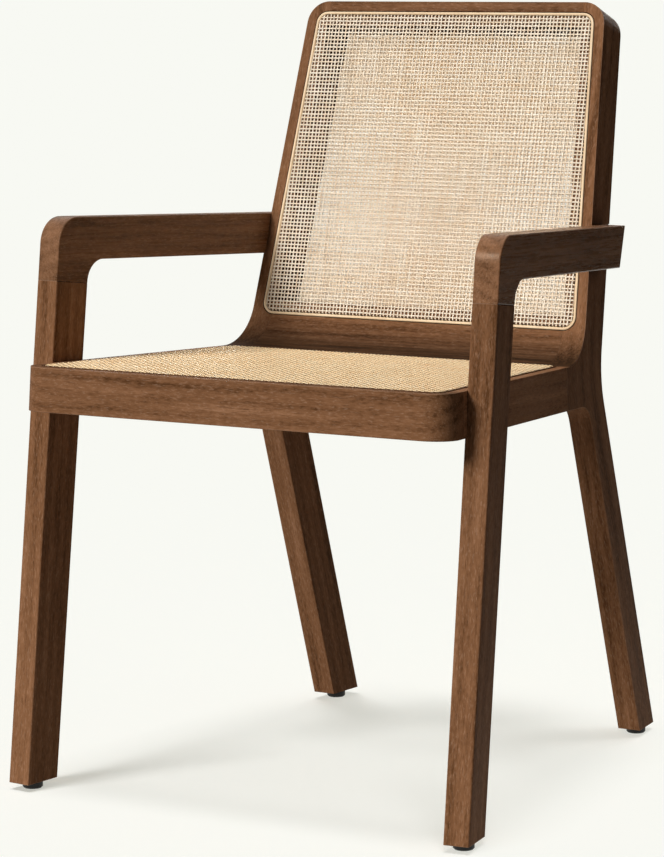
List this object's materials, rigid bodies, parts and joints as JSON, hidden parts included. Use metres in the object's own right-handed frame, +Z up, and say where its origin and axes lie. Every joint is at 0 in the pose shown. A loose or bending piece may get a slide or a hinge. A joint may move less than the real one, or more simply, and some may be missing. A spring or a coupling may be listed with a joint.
{
  "type": "armchair",
  "caption": "Wooden dining armchair with a cane seat, a back caned on both faces, and side frames of raked leg and straight arm set outside the seat.",
  "frame": {"origin": "on the floor, under the middle of the chair's box", "axes": "+Z up, -Y the way a sitter faces, +X to the right of a viewer in front of the chair"},
  "size_m": [0.5556, 0.6158, 0.841],
  "materials": {
    "walnut": "satin oil",
    "beech": "raw",
    "cane": "natural, semi matt",
    "reed": "natural, semi matt",
    "dowel": "raw",
    "steel": "zinc",
    "brass": "plain",
    "nylon": "matt"
  },
  "bodies": {
    "root": {"left_front_leg": "walnut", "right_front_leg": "walnut", "left_arm": "walnut", "right_arm": "walnut", "left_back_post": "walnut", "right_back_post": "walnut", "left_side_rail": "walnut", "right_side_rail": "walnut", "front_rail": "walnut", "rear_rail": "walnut", "back_bottom_rail": "walnut", "back_top_rail": "walnut", "front_left_corner_block": "beech", "front_right_corner_block": "beech", "rear_left_corner_block": "beech", "rear_right_corner_block": "beech", "seat_cane": "cane", "back_front_cane": "cane", "back_rear_cane": "cane", "seat_spline": "reed", "back_front_spline": "reed", "back_rear_spline": "reed", "arm_leg_dowels": "dowel", "arm_post_dowels": "dowel", "back_top_dowels": "dowel", "back_bottom_dowels": "dowel", "rear_rail_dowels": "dowel", "front_rail_dowels": "dowel", "side_rail_dowels": "dowel", "leg_bolts": "steel", "leg_washers": "steel", "corner_block_screws": "steel", "rear_rail_screws": "steel", "leg_inserts": "brass", "front_left_glide": "nylon", "front_right_glide": "nylon", "rear_left_glide": "nylon", "rear_right_glide": "nylon"}
  },
  "joints": []
}
